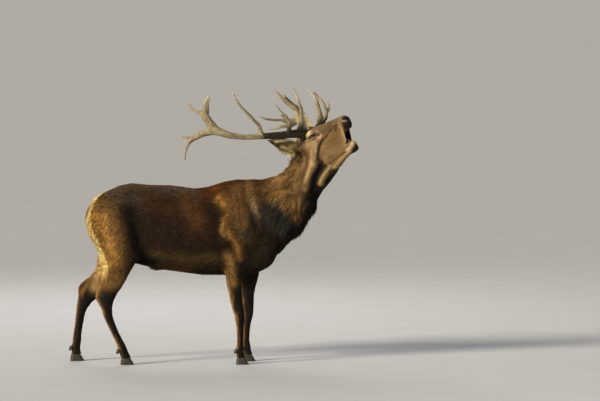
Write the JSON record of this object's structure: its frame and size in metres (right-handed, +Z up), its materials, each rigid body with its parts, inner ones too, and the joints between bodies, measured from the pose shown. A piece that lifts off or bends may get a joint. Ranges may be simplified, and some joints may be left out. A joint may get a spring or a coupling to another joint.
{
  "type": "red deer stag",
  "caption": "Life-size still model of a red deer stag standing and roaring, head raised and turned, with branched antlers and a shaggy neck.",
  "frame": {"origin": "centre of the bounding box on the floor, at the level of the soles", "axes": "+X forwards along the body, towards the head; +Z up; the stag's right side faces -Y"},
  "size_m": [1.9764, 0.9244, 1.8925],
  "materials": {
    "coat": "matt grey-brown hair",
    "coat_head": "short matt tan hair",
    "coat_dark": "short matt dark brown hair",
    "coat_rump": "matt cream hair",
    "antler": "rough bone, dark and pearled near the head, pale and smooth at the tips",
    "hoof": "satin black horn",
    "eye": "wet and glossy",
    "tongue": "moist pink"
  },
  "bodies": {
    "root": {"antler_left_base": "antler", "antler_left_beam": "antler", "antler_left_bez": "antler", "antler_left_brow": "antler", "antler_left_crown_a": "antler", "antler_left_crown_b": "antler", "antler_left_crown_c": "antler", "antler_left_crown_d": "antler", "antler_right_base": "antler", "antler_right_beam": "antler", "antler_right_bez": "antler", "antler_right_brow": "antler", "antler_right_crown_blade": "antler", "antler_right_crown_drop": "antler", "antler_right_crown_hook": "antler", "antler_right_crown_lower": "antler", "antler_right_crown_rear": "antler", "antler_right_crown_upper": "antler", "antler_right_trez": "antler", "dewclaw_fore_left_inner": "hoof", "dewclaw_fore_left_outer": "hoof", "dewclaw_fore_right_inner": "hoof", "dewclaw_fore_right_outer": "hoof", "dewclaw_hind_left_inner": "hoof", "dewclaw_hind_left_outer": "hoof", "dewclaw_hind_right_inner": "hoof", "dewclaw_hind_right_outer": "hoof", "ear_left": "coat_head", "ear_right": "coat_head", "eye_left": "eye", "eye_right": "eye", "head": "coat_head", "hoof_fore_left_inner": "hoof", "hoof_fore_left_outer": "hoof", "hoof_fore_right_inner": "hoof", "hoof_fore_right_outer": "hoof", "hoof_hind_left_inner": "hoof", "hoof_hind_left_outer": "hoof", "hoof_hind_right_inner": "hoof", "hoof_hind_right_outer": "hoof", "leg_fore_left_lower": "coat_dark", "leg_fore_left_upper": "coat", "leg_fore_right_lower": "coat_dark", "leg_fore_right_upper": "coat", "leg_hind_left_lower": "coat_dark", "leg_hind_left_upper": "coat", "leg_hind_right_lower": "coat_dark", "leg_hind_right_upper": "coat", "neck": "coat", "tail": "coat_rump", "tongue": "tongue", "trunk": "coat"}
  },
  "joints": []
}
